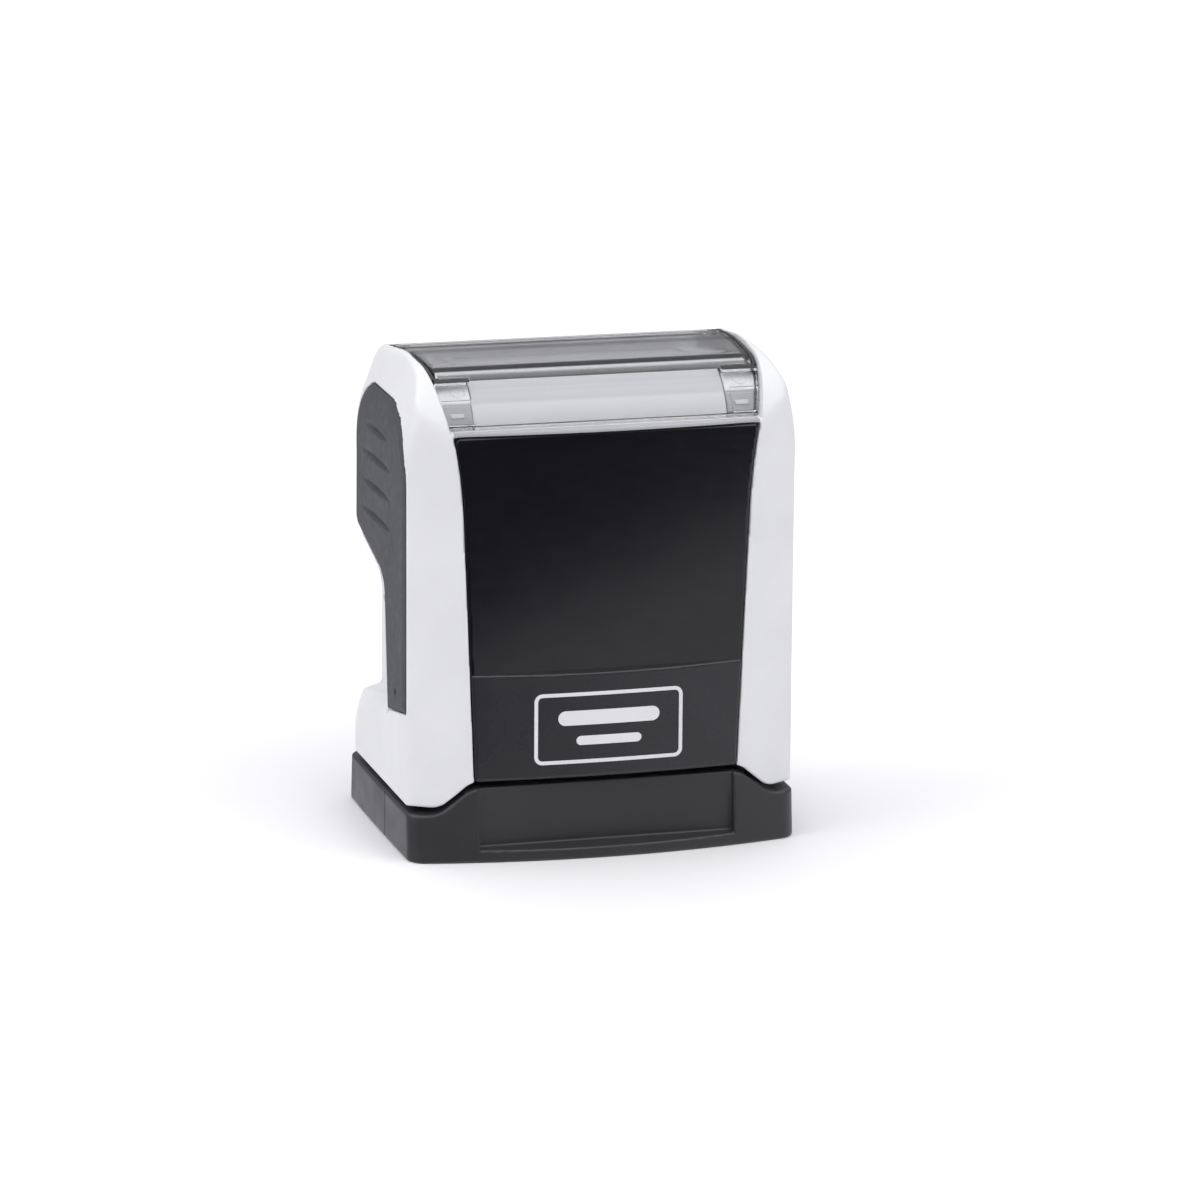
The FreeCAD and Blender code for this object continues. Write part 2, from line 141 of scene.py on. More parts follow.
# storage cap
CAP_HALF = cad("base_cap", 1, 0)
CAP_TOP = cad("base_cap", 1, 2)
CAP_DEPTH = cad("base_cap", 1, 1)
CAP_SIDE_BULGE = 0.12
CAP_CORNER_Z = 5.2
CAP_FACE_R = 92.0
CAP_TAPER = 0.1
CAP_FLOOR = 1.2
SIDE_CORNER_Y = 12.2
PLAQUE_X = 14.1
PLAQUE_Y = 14.55


# ---- fields ----

def both(a, b, r=0.0):
    """Inside both fields, with the edge between them rounded by r."""
    if np.isscalar(r) and r == 0:
        return np.maximum(a, b)
    corner = np.hypot(np.maximum(a + r, 0), np.maximum(b + r, 0))
    return np.minimum(np.maximum(a, b), -r) + corner


def either(a, b, r=0.0):
    """Inside one field or the other, with the corner between them rounded by r."""
    return -both(-a, -b, r)


def without(a, b, r=0.0):
    """Inside the first field and outside the second, with the edge rounded by r."""
    return both(a, -b, r)


def slab(v, low, high):
    """Between two values of one coordinate."""
    return np.maximum(low - v, v - high)


def box_field(x, y, z, low, high, r=0.0):
    flat = both(slab(x, low[0], high[0]), slab(y, low[1], high[1]), r)
    return both(flat, slab(z, low[2], high[2]), r)


def arc_points(a, b, c, count=10):
    """Points along the circle through a, b and c, from a up to but not including c."""
    (ax, ay), (bx, by), (cx, cy) = a, b, c
    d = 2 * (ax * (by - cy) + bx * (cy - ay) + cx * (ay - by))
    sa, sb, sc = ax * ax + ay * ay, bx * bx + by * by, cx * cx + cy * cy
    ux = (sa * (by - cy) + sb * (cy - ay) + sc * (ay - by)) / d
    uy = (sa * (cx - bx) + sb * (ax - cx) + sc * (bx - ax)) / d
    radius = math.hypot(ax - ux, ay - uy)
    start = math.atan2(ay - uy, ax - ux)
    sweep = math.atan2(cy - uy, cx - ux) - start
    middle = math.atan2(by - uy, bx - ux) - start
    sweep = sweep % math.tau
    if middle % math.tau > sweep:
        sweep -= math.tau
    angles = [start + sweep * i / count for i in range(count)]
    return [(ux + radius * math.cos(t), uy + radius * math.sin(t)) for t in angles]


def outline_field(points, u, v):
    """Signed distance to a closed outline in a plane."""
    nearest = np.inf
    inside = False
    for (u0, v0), (u1, v1) in zip(points, points[1:] + points[:1]):
        du = u1 - u0
        dv = v1 - v0
        t = np.clip(((u - u0) * du + (v - v0) * dv) / (du * du + dv * dv), 0, 1)
        nearest = np.minimum(nearest, (u - u0 - t * du) ** 2 + (v - v0 - t * dv) ** 2)
        spans = (v0 > v) != (v1 > v)
        inside = inside ^ (spans & (u < u0 + (v - v0) * du / (dv or 1e-9)))
    return np.where(inside, -1, 1) * np.sqrt(nearest)


def ramp(v, low, high):
    """Goes smoothly from 0 to 1 between low and high."""
    t = np.clip((v - low) / (high - low), 0, 1)
    return t * t * (3 - 2 * t)


FRONT_R = (FRONT_HALF ** 2 + FRONT_SAG ** 2) / (2 * FRONT_SAG)
FRONT_TILT = math.asin(FRONT_HALF / FRONT_R)
CHEEK_X = FRONT_HALF - CHEEK_R * math.sin(FRONT_TILT)
CHEEK_Y = SHELL_DEPTH - CHEEK_R * math.cos(FRONT_TILT)


def bulge_field(x, y):
    """Outside of the bulged front and back, seen from above, without the cheeks."""
    return np.hypot(x, np.abs(y) + FRONT_R - PANEL_BULGE) - FRONT_R


def plan_field(x, y):
    """Front, back and cheeks of the handle seen from above."""
    ax = np.abs(x)
    ay = np.abs(y)
    cheek = np.hypot(ax - CHEEK_X, ay - CHEEK_Y) - CHEEK_R
    on_cheek = (ax - CHEEK_X) > math.tan(FRONT_TILT) * (ay - CHEEK_Y)
    return np.where(on_cheek, cheek, bulge_field(x, y))


def lean_field(x, z):
    """Sides of the handle seen from the front: upright, then leaning in."""
    ax = np.abs(x)
    leaning = np.hypot(ax - HALF_WIDTH + LEAN_R, z - LEAN_Z) - LEAN_R
    return np.where(z > LEAN_Z, leaning, ax - HALF_WIDTH)


def arch_field(y, z, depth, radius, top, crown):
    """Side view with upright ends, round shoulders and a slightly crowned top."""
    ay = np.abs(y)
    flat_half = depth - radius
    lifted = z - crown * (1 - np.minimum(ay / flat_half, 1) ** 2)
    py = ay - flat_half
    pz = lifted - (top - radius)
    corner = np.hypot(np.maximum(py, 0), np.maximum(pz, 0))
    return corner + np.minimum(np.maximum(py, pz), 0) - radius


def handle_arch(y, z):
    return arch_field(y, z, SHELL_DEPTH, SHOULDER_R, SHOULDER_Z + SHOULDER_R, CROWN)


def window_arch(y, z):
    return arch_field(y, z, WINDOW_DEPTH, WINDOW_R, WINDOW_TOP, WINDOW_CROWN)


def panel_half(z):
    """Half the width of the opening that the panels sit in."""
    low = PANEL_HALF_LOW + (z - PANEL_LOW) * PANEL_FLARE
    rise = np.maximum(z - PANEL_CURVE_Z, 0)
    return low + PANEL_CURVE * rise * rise


def window_half(y, z):
    """Half the width of the window's opening, wider towards the top and the back."""
    upward = WINDOW_FLARE_Z * np.clip(z - WINDOW_LOW, -1, 6)
    return WINDOW_HALF + upward + WINDOW_FLARE_Y * np.clip(y + 6, 0, 12)


def underside_field(x, z, low, low_x, high, high_x):
    """Space below a line that is low at the corners and steps up in the middle."""
    ax = np.abs(x)
    run = low_x - high_x
    rise = high - low
    slope = ((ax - low_x) * rise + (z - low) * run) / math.hypot(run, rise)
    return either(z - low, both(z - high, slope, 0.5), 0.5)


def scoop_field(x, y, z):
    """Finger hollow in each side, open to the back."""
    ax = np.abs(x)
    deep = HALF_WIDTH - ax
    wall = (SCOOP_FRONT[0] + 0.104 * (z - SCOOP_FRONT[1])) - y
    roof = (z - SCOOP_ROOF[1] - 0.26 * (y - SCOOP_ROOF[0]) + 1.97 * deep) / 2.22
    crease = SCOOP_CREASE[1] - 0.2 * (y - SCOOP_CREASE[0])
    steep = (z - crease - 1.6 * deep) / 1.9
    gentle = (z - crease - 1.6 - 0.22 * (deep - 1.0)) / 1.05
    floor = -np.maximum(steep, gentle)
    hollow = both(wall, roof, 3.2)
    hollow = both(hollow, SCOOP_X - ax, 1.0)
    return both(hollow, floor, 0.5)


def outer_field(x, y, z):
    """Outside of the handle: crisp edges in front, rounder ones at the back and shoulders."""
    back = ramp(y, -4, 6)
    front_corner = 0.35 + 0.85 * ramp(z, 42, 50)
    back_corner = 0.35 + 1.9 * ramp(z, 13, 18) + 1.9 * ramp(z, 42, 50)
    body = both(plan_field(x, y), lean_field(x, z), front_corner * (1 - back) + back_corner * back)
    return both(body, handle_arch(y, z), 0.4 + back * (4.2 - 3.5 * ramp(z, 47.6, 52.8)))


def shell_field(x, y, z):
    """White handle moulding: the outer form less its hollows, pockets and openings."""
    ax = np.abs(x)
    ay = np.abs(y)
    body = outer_field(x, y, z)
    body = without(body, scoop_field(x, y, z), 0.4 + 1.2 * ramp(y, 8, 12))
    body = without(body, grip_seat_field(x, y, z), 0.08)
    step = underside_field(x, z, SHELL_LOW, STEP_OUT, PANEL_LOW, STEP_IN)
    body = without(body, step, 0.3)
    pocket = both(both(ax - panel_half(z), POCKET_Y - ay, 0.1), z - PANEL_TOP - 0.05, 0.1)
    body = without(body, pocket, 0.15)
    deck = DECK_TOP + (LEDGE_TOP - DECK_TOP) * (ay > CAVITY[1])
    top = both(ax - window_half(y, z), deck - z, 0.1)
    body = without(body, top, 0.15)
    cavity = both(both(ax - CAVITY[0], ay - CAVITY[1], CAVITY_EDGE), z - CAVITY[2])
    body = without(body, cavity)
    foot = both(both(ax - FOOT_ROOM[0], ay - FOOT_ROOM[1], CAVITY_EDGE), z - FOOT_ROOM[2])
    body = without(body, foot, 0.1)
    port = box_field(x, y, z, PORT_LOW, PORT_HIGH, 0.3)
    body = without(body, port, 0.1)
    holes = np.hypot(ax - LOCK_X, z - LOCK_Z) - LOCK_HOLE_R
    return without(body, both(holes, 10 - y))


GROOVES = ((34.5, 6.5), (37.7, 6.4), (40.9, 6.6), (44.0, 4.9))
GROOVE_Y = 0.4
GROOVE_DEPTH = 0.46
GRIP_PROUD = 0.12
GRIP_OUTLINE = (
    [(-12.1, 15.9)]
    + arc_points((-12.1, 40.0), (-11.0, 44.4), (-8.0, 47.2))
    + [(-8.0, 47.2), (-4.4, 48.4)]
    + arc_points((4.8, 48.5), (8.6, 46.2), (10.4, 40.0))
    + [(10.4, 40.0), (10.7, 32.2)]
    + arc_points((0.3, 29.5), (-1.9, 28.4), (-2.7, 26.0))
    + [(-2.7, 26.0), (-3.9, 14.5)]
)


def grip_relief(y, z):
    """Depth of the finger grooves, pointed at both ends, and of the small dimple."""
    depth = 0
    for groove_z, length in GROOVES:
        along = np.clip(1 - ((y - GROOVE_Y) / length) ** 2, 0, 1)
        across = (z - groove_z) / (0.2 + 0.34 * along)
        bowl = np.clip(1 - across * across, 0, 1)
        depth = np.maximum(depth, GROOVE_DEPTH * along * bowl * bowl)
    spot = np.clip(1 - ((y + 8.1) ** 2 + (z - 17.4) ** 2) / 0.4 ** 2, 0, 1)
    return depth + 0.4 * np.sqrt(spot)


def grip_field(x, y, z):
    """Soft pad let into the side, a little proud, with a wide shallow bevel round its edge."""
    outline = outline_field(GRIP_OUTLINE, y, z) + 0.14
    side = outer_field(x, y, z)
    piece = np.maximum(outline, side - GRIP_PROUD + grip_relief(y, z))
    piece = np.maximum(piece, (0.2 * outline + side - GRIP_PROUD + 0.16) / 1.02)
    return np.maximum(piece, -0.85 - side)


def grip_seat_field(x, y, z):
    """Pocket for the grip, opened a little further where it runs out into the hollow."""
    spill = 0.5 * ramp(-scoop_field(x, y, z), -1.0, -0.4)
    return np.maximum(outline_field(GRIP_OUTLINE, y, z) - spill, -0.95 - outer_field(x, y, z))


def upper_panel_field(x, y, z):
    """Flat plate with rounded top corners."""
    outline = both(np.abs(x) - panel_half(z) + PANEL_GAP, z - PANEL_TOP, 0.7)
    outline = both(outline, SEAM_Z - 0.3 - z, 0.1)
    return both(outline, slab(y, -SHELL_DEPTH + 0.15, -SHELL_DEPTH + PLATE_DEPTH), 0.22)


def lower_panel_field(x, y, z):
    """Bulged plate whose top edge stands out in front of the flat one."""
    outline = both(np.abs(x) - panel_half(z) + PANEL_GAP, PANEL_LOW - z, 0.25)
    piece = both(outline, bulge_field(x, y), 0.3)
    ledge = (z - SEAM_Z - 0.02 - 0.32 * (y + 14.65)) / 1.05
    piece = both(piece, ledge, 0.16)
    return both(piece, y + SHELL_DEPTH - PLATE_DEPTH)


def cap_field(x, y, z):
    """Storage cap: bowed front and back, high middle, low corners, a plaque and a hollow."""
    ax = np.abs(x)
    ay = np.abs(y)
    bulge = CAP_DEPTH - CAP_TAPER * z
    front = np.hypot(ax, ay + CAP_FACE_R - bulge) - CAP_FACE_R
    side = ax - CAP_HALF - CAP_SIDE_BULGE * np.clip(1 - (y / SIDE_CORNER_Y) ** 2, 0, 1)
    body = both(front, side, 1.6)
    run = STEP_OUT + 0.2 - STEP_IN
    rise = CAP_TOP - CAP_CORNER_Z
    slope = ((ax - STEP_OUT - 0.2) * rise + (z - CAP_CORNER_Z) * run) / math.hypot(run, rise)
    top = either(z - CAP_CORNER_Z, both(z - CAP_TOP, slope, 0.6), 0.6)
    body = both(body, top, 0.3)
    body = both(body, -z, 0.3)
    ledge = 1.5 - 0.13 * (ay - PLAQUE_Y) - z
    plaque = both(both(ax - PLAQUE_X, PLAQUE_Y - ay, 0.12), ledge, 0.12)
    body = without(body, plaque, 0.18)
    low = both(both(ax - 20.0, ay - 10.9, 0.5), CAP_FLOOR - z, 0.2)
    middle = both(both(ax - 16.9, ay - 12.1, 0.3), CAP_FLOOR - z, 0.2)
    body = without(body, np.minimum(low, middle), 0.12)
    seam = both(np.abs(y + 3.2) - 0.09, CAP_HALF - 0.02 - ax)
    return without(body, seam, 0.05)


def window_angle(y, z):
    """Angle round the window's front shoulder, in degrees from level."""
    return np.degrees(np.arctan2(z - WINDOW_TOP + WINDOW_R, -y - WINDOW_DEPTH + WINDOW_R))


def window_field(x, y, z):
    """Clear cover: a bent wall with solid ends that carry a slot, a pad and a lower recess."""
    ax = np.abs(x)
    arch = window_arch(y, z)
    bend = window_angle(y, z)
    rail_width = 0.5 * (bend > SLOT_ANGLES[1])
    outer = both(arch, ax - window_half(y, z) + 0.1 + rail_width, 0.3)
    outer = both(outer, WINDOW_LOW - z, 0.15)
    cover = without(outer, arch + WINDOW_WALL)
    slot = np.maximum(slab(bend, *SLOT_ANGLES) * OUTER_DEGREE, -0.8 - arch)
    cover = without(cover, np.maximum(slot, END_BLOCK_X - ax), 0.06)
    recess = np.maximum((bend - PAD_ANGLE) * OUTER_DEGREE, -0.15 - arch)
    recess = np.maximum(recess, slab(ax, *RECESS_X))
    recess = np.maximum(recess, WINDOW_LOW + 0.5 - z)
    return without(cover, np.where(y < 0, recess, 1.0), 0.08)


# ---- meshing ----

def net(field, low, high, step):
    """Quads along a field's zero level: one vertex in each mixed cell of a grid."""
    axes = [np.arange(low[i] - 1.5 * step, high[i] + 1.5 * step, step) for i in range(3)]
    grid = np.meshgrid(*axes, indexing="ij", sparse=True)
    values = np.broadcast_to(field(*grid), [len(a) for a in axes])
    inside = values < 0
    nx, ny, nz = (n - 1 for n in inside.shape)
    count = sum(
        inside[i:nx + i, j:ny + j, k:nz + k].astype(np.int8)
        for i in (0, 1) for j in (0, 1) for k in (0, 1)
    )
    mixed = (count > 0) & (count < 8)
    cells = np.argwhere(mixed)
    number = np.full(mixed.shape, -1, dtype=np.int64)
    number[mixed] = np.arange(len(cells))
    total = np.zeros((len(cells), 3))
    hits = np.zeros(len(cells))
    for axis in range(3):
        others = [i for i in range(3) if i != axis]
        for a in (0, 1):
            for b in (0, 1):
                start = cells.copy()
                start[:, others[0]] += a
                start[:, others[1]] += b
                end = start.copy()
                end[:, axis] += 1
                v0 = values[tuple(start.T)]
                v1 = values[tuple(end.T)]
                cross = (v0 < 0) != (v1 < 0)
                points = start[cross].astype(float)
                points[:, axis] += v0[cross] / (v0[cross] - v1[cross])
                total[cross] += points
                hits[cross] += 1
    origin = np.array([a[0] for a in axes])
    verts = origin + step * total / hits[:, None]
    quads = []
    for axis in range(3):
        u, v = [i for i in range(3) if i != axis]
        ahead = [slice(None)] * 3
        behind = [slice(None)] * 3
        ahead[axis] = slice(1, None)
        behind[axis] = slice(None, -1)
        first = inside[tuple(behind)]
        edges = np.argwhere(first != inside[tuple(ahead)])
        edges = edges[(edges[:, u] > 0) & (edges[:, v] > 0)]
        edges = edges[(edges[:, u] < mixed.shape[u]) & (edges[:, v] < mixed.shape[v])]
        ring = []
        for du, dv in ((-1, -1), (0, -1), (0, 0), (-1, 0)):
            cell = edges.copy()
            cell[:, u] += du
            cell[:, v] += dv
            ring.append(number[tuple(cell.T)])
        ring = np.stack(ring, axis=1)
        outward = first[tuple(edges.T)]
        if axis == 1:
            outward = ~outward
        ring[~outward] = ring[~outward][:, ::-1]
        quads.append(ring)
    return verts, np.concatenate(quads)


def slope_of(field, points):
    """Unit gradient of a field, and its value, at points."""
    h = 0.02
    value = field(*points.T)
    parts = []
    for axis in range(3):
        shift = np.zeros(3)
        shift[axis] = h
        parts.append(field(*(points + shift).T) - field(*(points - shift).T))
    gradient = np.stack(parts, axis=1) / (2 * h)
    size = np.linalg.norm(gradient, axis=1, keepdims=True)
    return gradient / np.maximum(size, 1e-6), value / np.maximum(size[:, 0], 0.3)


def settle(field, points, rounds=3):
    """Moves points onto the field's zero level."""
    for _ in range(rounds):
        normal, value = slope_of(field, points)
        points = points - normal * np.clip(value, -0.2, 0.2)[:, None]
    return points


def mesh_object(name, verts, faces):
    mesh = bpy.data.meshes.new(name)
    mesh.from_pydata(verts.tolist(), [], faces.tolist())
    mesh.update()
    thing = bpy.data.objects.new(name, mesh)
    bpy.context.scene.collection.objects.link(thing)
    return thing


def applied(thing):
    """The object with its modifiers made into mesh."""
    graph = bpy.context.evaluated_depsgraph_get()
    final = bpy.data.meshes.new_from_object(thing.evaluated_get(graph))
    old = thing.data
    thing.modifiers.clear()
    thing.data = final
    bpy.data.meshes.remove(old)
    return thing


def read_points(mesh):
    points = np.empty(len(mesh.vertices) * 3)
    mesh.vertices.foreach_get("co", points)
    return points.reshape(-1, 3)


def moulded(name, field, low, high, step, keep=0.5):
    """A piece made of a field's zero level, thinned, and shaded by the field's own slope."""
    verts, quads = net(field, low, high, step)
    verts = settle(field, verts)
    thing = mesh_object(name, verts * MM, quads)
    if keep < 1:
        thin = thing.modifiers.new("thin", "DECIMATE")
        thin.ratio = keep
        thing = applied(thing)
    shade(thing, field)
    return thing


def shade(thing, field):
    """Settles the thinned mesh on the field once more and takes its normals from the slope."""
    mesh = thing.data
    points = read_points(mesh) / MM
    normal, value = slope_of(field, points)
    points = points - normal * np.clip(value, -0.05, 0.05)[:, None]
    mesh.vertices.foreach_set("co", (points * MM).ravel())
    mesh.polygons.foreach_set("use_smooth", np.ones(len(mesh.polygons), dtype=bool))
    mesh.update()
    mesh.normals_split_custom_set_from_vertices(normal.tolist())


def mirrored(thing, name):
    """A copy on the other side of X = 0."""
    other = thing.data.copy()
    points = read_points(other)
    points[:, 0] *= -1
    other.vertices.foreach_set("co", points.ravel())
    other.flip_normals()
    other.update()
    copy = bpy.data.objects.new(name, other)
    bpy.context.scene.collection.objects.link(copy)
    return copy


def place(thing, body, slot, material, *nodes):
    """Gives a piece its body and material, and hides the CAD nodes it stands for; the slot is not used.
    """
    thing.data.materials.clear()
    thing.data.materials.append(material)
    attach(thing, body)
    if nodes:
        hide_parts(*nodes)


# ---- materials ----

class Material:
    """A Principled material whose colour, roughness and bump vary over the object."""

    def __init__(self, name, colour, roughness, **sockets):
        self.material = bpy.data.materials.new(name)
        self.material.use_nodes = True
        self.tree = self.material.node_tree
        self.shader = self.tree.nodes["Principled BSDF"]
        self.shader.inputs["Base Color"].default_value = (*colour, 1)
        self.shader.inputs["Roughness"].default_value = roughness
        for socket, value in sockets.items():
            self.shader.inputs[socket.replace("_", " ")].default_value = value
        self.where = self.tree.nodes.new("ShaderNodeTexCoord").outputs["Object"]
        self.bumped = None

    def noise(self, size_mm, detail=3.0, stretch=None):
        """Noise whose features are about this large."""
        node = self.tree.nodes.new("ShaderNodeTexNoise")
        node.inputs["Scale"].default_value = 1 / (size_mm * MM)
        node.inputs["Detail"].default_value = detail
        source = self.where
        if stretch:
            mapping = self.tree.nodes.new("ShaderNodeMapping")
            mapping.inputs["Scale"].default_value = stretch
            self.tree.links.new(source, mapping.inputs["Vector"])
            source = mapping.outputs["Vector"]
        self.tree.links.new(source, node.inputs["Vector"])
        return node.outputs["Fac"]

    def height_step(self, low_z, high_z, below, above):
        """A value that changes from below to above between two heights."""
        parts = self.tree.nodes.new("ShaderNodeSeparateXYZ")
        self.tree.links.new(self.where, parts.inputs["Vector"])
        edge = self.tree.nodes.new("ShaderNodeMapRange")
        edge.inputs["From Min"].default_value = low_z * MM
        edge.inputs["From Max"].default_value = high_z * MM
        edge.inputs["To Min"].default_value = below
        edge.inputs["To Max"].default_value = above
        self.tree.links.new(parts.outputs["Z"], edge.inputs["Value"])
        return edge.outputs["Result"]

    def spread(self, value, low, high):
        """Maps a 0.3..0.7 noise value to low..high."""
        node = self.tree.nodes.new("ShaderNodeMapRange")
        node.inputs["From Min"].default_value = 0.3
        node.inputs["From Max"].default_value = 0.7
        node.inputs["To Min"].default_value = low
        node.inputs["To Max"].default_value = high
        self.tree.links.new(value, node.inputs["Value"])
        return node.outputs["Result"]

    def tint(self, value, dark, light):
        node = self.tree.nodes.new("ShaderNodeMix")
        node.data_type = "RGBA"
        node.inputs["A"].default_value = (*dark, 1)
        node.inputs["B"].default_value = (*light, 1)
        self.tree.links.new(self.spread(value, 0, 1), node.inputs["Factor"])
        self.tree.links.new(node.outputs["Result"], self.shader.inputs["Base Color"])
        return self

    def rough(self, value, low, high):
        self.tree.links.new(self.spread(value, low, high), self.shader.inputs["Roughness"])
        return self

    def bump(self, value, depth_mm, strength=1.0):
        node = self.tree.nodes.new("ShaderNodeBump")
        node.inputs["Distance"].default_value = depth_mm * MM
        node.inputs["Strength"].default_value = strength
        self.tree.links.new(value, node.inputs["Height"])
        if self.bumped:
            self.tree.links.new(self.bumped, node.inputs["Normal"])
        self.bumped = node.outputs["Normal"]
        self.tree.links.new(self.bumped, self.shader.inputs["Normal"])
        return self


def shade_of(colour, factor):
    return tuple(c * factor for c in colour)


def moulded_plastic(name, colour, roughness, grain_mm=0.25, depth_mm=0.004):
    """Injection-moulded plastic: a fine spark-eroded grain over a faint uneven tone."""
    made = Material(name, colour, roughness)
    made.tint(made.noise(9.0), shade_of(colour, 0.96), shade_of(colour, 1.03))
    made.rough(made.noise(4.0), roughness - 0.05, roughness + 0.05)
    made.bump(made.noise(grain_mm, 2.0), depth_mm)
    return made.material


def white_shell_material():
    return moulded_plastic("white_plastic", (0.75, 0.752, 0.768), 0.5, 0.3, 0.003)


def black_cap_material():
    return moulded_plastic("black_cap_plastic", (0.030, 0.030, 0.033), 0.42, 0.3, 0.006)


def gloss_panel_material():
    """Polished black plate: faint waviness and fine wiping marks."""
    made = Material("gloss_black", (0.006, 0.006, 0.008), 0.07)
    made.tint(made.noise(14.0), (0.0055, 0.0055, 0.0075), (0.0070, 0.0070, 0.0090))
    made.rough(made.noise(3.0, 4.0, (1, 1, 3)), 0.06, 0.08)
    made.bump(made.noise(7.0, 1.0), 0.003)
    return made.material


def satin_panel_material():
    """Black plate with a duller finish than the upper one."""
    return moulded_plastic("satin_black", (0.022, 0.022, 0.025), 0.28, 0.5, 0.001)


def grip_material():
    made = Material("soft_grip", (0.060, 0.062, 0.068), 0.62)
    made.tint(made.noise(6.0), (0.054, 0.056, 0.062), (0.066, 0.068, 0.074))
    made.rough(made.noise(1.2), 0.56, 0.70)
    made.bump(made.noise(0.22, 2.0), 0.012)
    return made.material


def window_material():
    made = Material("clear_cover", (0.97, 0.975, 0.98), 0.04, IOR=1.33)
    made.shader.inputs["Transmission Weight"].default_value = 1.0
    made.rough(made.noise(6.0), 0.03, 0.07)
    made.bump(made.noise(5.0, 1.0), 0.003)
    return made.material


def card_material():
    """White card, coloured greyer along its top as painted shade under the window's top, with paper
    fibres.
    """
    made = Material("card", (0.86, 0.86, 0.86), 0.5)
    # Painted shade: the card is coloured darker above about 48.8 mm, where it lies under the window's
    # top.
    made.tint(made.height_step(48.5, 48.8, 0.7, 0.3), (0.66, 0.66, 0.68), (0.80, 0.80, 0.81))
    made.rough(made.noise(0.6, 5.0), 0.45, 0.6)
    made.bump(made.noise(0.15, 4.0), 0.004)
    return made.material


def insert_material():
    """Pale moulding, with painted shade making its recessed lower part greyer."""
    made = Material("pale_moulding", (0.85, 0.85, 0.86), 0.4)
    # Painted shade: below about 48.4 mm, in the recess, the moulding is coloured darker grey.
    made.tint(made.height_step(48.4, 48.8, 0.3, 0.7), (0.48, 0.48, 0.50), (0.92, 0.92, 0.93))
    made.rough(made.noise(3.0), 0.35, 0.45)
    made.bump(made.noise(0.3, 2.0), 0.003)
    return made.material


def steel_material():
    made = Material("ground_steel", (0.55, 0.55, 0.57), 0.30, Metallic=1.0)
    made.rough(made.noise(0.5, 3.0, (0.1, 1, 1)), 0.22, 0.40)
    made.bump(made.noise(0.3, 2.0, (0.1, 1, 1)), 0.004)
    return made.material


def rubber_material():
    made = Material("die_rubber", (0.42, 0.10, 0.08), 0.66)
    made.tint(made.noise(0.8, 4.0), (0.36, 0.08, 0.065), (0.48, 0.12, 0.09))
    made.bump(made.noise(0.12, 3.0), 0.015)
    return made.material


def felt_material():
    """Felt soaked with violet ink: matted fibres, darker where the ink pools."""
    made = Material("inked_felt", (0.09, 0.04, 0.26), 0.85)
    made.tint(made.noise(1.6, 5.0), (0.05, 0.02, 0.17), (0.13, 0.07, 0.34))
    made.bump(made.noise(0.12, 5.0), 0.05)
    return made.material


# ---- pieces ----

def make_shell(material):
    low = (-HALF_WIDTH, -SHELL_DEPTH - 0.2, SHELL_LOW)
    high = (HALF_WIDTH, SHELL_DEPTH + 0.2, SHOULDER_Z + SHOULDER_R + CROWN)
    shell = moulded("white_shell", shell_field, low, high, 0.25, 0.25)
    place(shell, "handle", "shell_white", material, "handle_shell")


def make_grips(material):
    low = (HALF_WIDTH - 4.2, -12.6, 13.5)
    high = (HALF_WIDTH + 0.35, 11.2, 49.0)
    right = moulded("right_soft_grip", grip_field, low, high, 0.1, 0.25)
    left = mirrored(right, "left_soft_grip")
    place(right, "handle", "grip_grey", material, "right_grip")
    place(left, "handle", "grip_grey", material, "left_grip")


def make_front_panels(polished, satin):
    low = (-17.2, -PANEL_BULGE, SEAM_Z - 0.4)
    high = (17.2, -SHELL_DEPTH + 1.6, PANEL_TOP)
    upper = moulded("gloss_front_panel", upper_panel_field, low, high, 0.2, 0.3)
    place(upper, "handle", "panel_black", polished, "front_upper_panel")
    low = (-16.0, -PANEL_BULGE, PANEL_LOW)
    high = (16.0, -SHELL_DEPTH + 1.6, SEAM_Z + 0.5)
    lower = moulded("bulged_front_panel", lower_panel_field, low, high, 0.2, 1.0)
    place(lower, "handle", "panel_black", satin, "front_lower_panel")


def make_cap(material):
    low = (-HALF_WIDTH - 0.3, -CAP_DEPTH, 0)
    high = (HALF_WIDTH + 0.3, CAP_DEPTH, CAP_TOP)
    cap = moulded("storage_cap", cap_field, low, high, 0.25, 0.35)
    place(cap, "base_cap", "cap_black", material, "base_cap")


def make_window(material):
    low = (-19.0, -WINDOW_DEPTH, WINDOW_LOW)
    high = (19.0, WINDOW_DEPTH, WINDOW_TOP + WINDOW_CROWN)
    window = moulded("clear_window", window_field, low, high, 0.16, 0.3)
    place(window, "window", "window_clear", material, "window_cover")


def ring_mesh(name, radius, tube, spin, side, centre, rounds=32, sides=8):
    """A thin ring lying in the plane of two given directions."""
    verts = []
    faces = []
    spin, side = Vector(spin).normalized(), Vector(side).normalized()
    out = spin.cross(side)
    for i in range(rounds):
        t = math.tau * i / rounds
        away = spin * math.cos(t) + side * math.sin(t)
        for j in range(sides):
            q = math.tau * j / sides
            point = Vector(centre) + away * (radius + tube * math.cos(q)) + out * (tube * math.sin(q))
            verts.append(tuple(point * MM))
            a = i * sides + j
            b = i * sides + (j + 1) % sides
            c = ((i + 1) % rounds) * sides + (j + 1) % sides
            d = ((i + 1) % rounds) * sides + j
            faces.append((a, d, c, b))
    thing = mesh_object(name, np.array(verts), np.array(faces))
    thing.data.polygons.foreach_set("use_smooth", [True] * len(faces))
    return thing


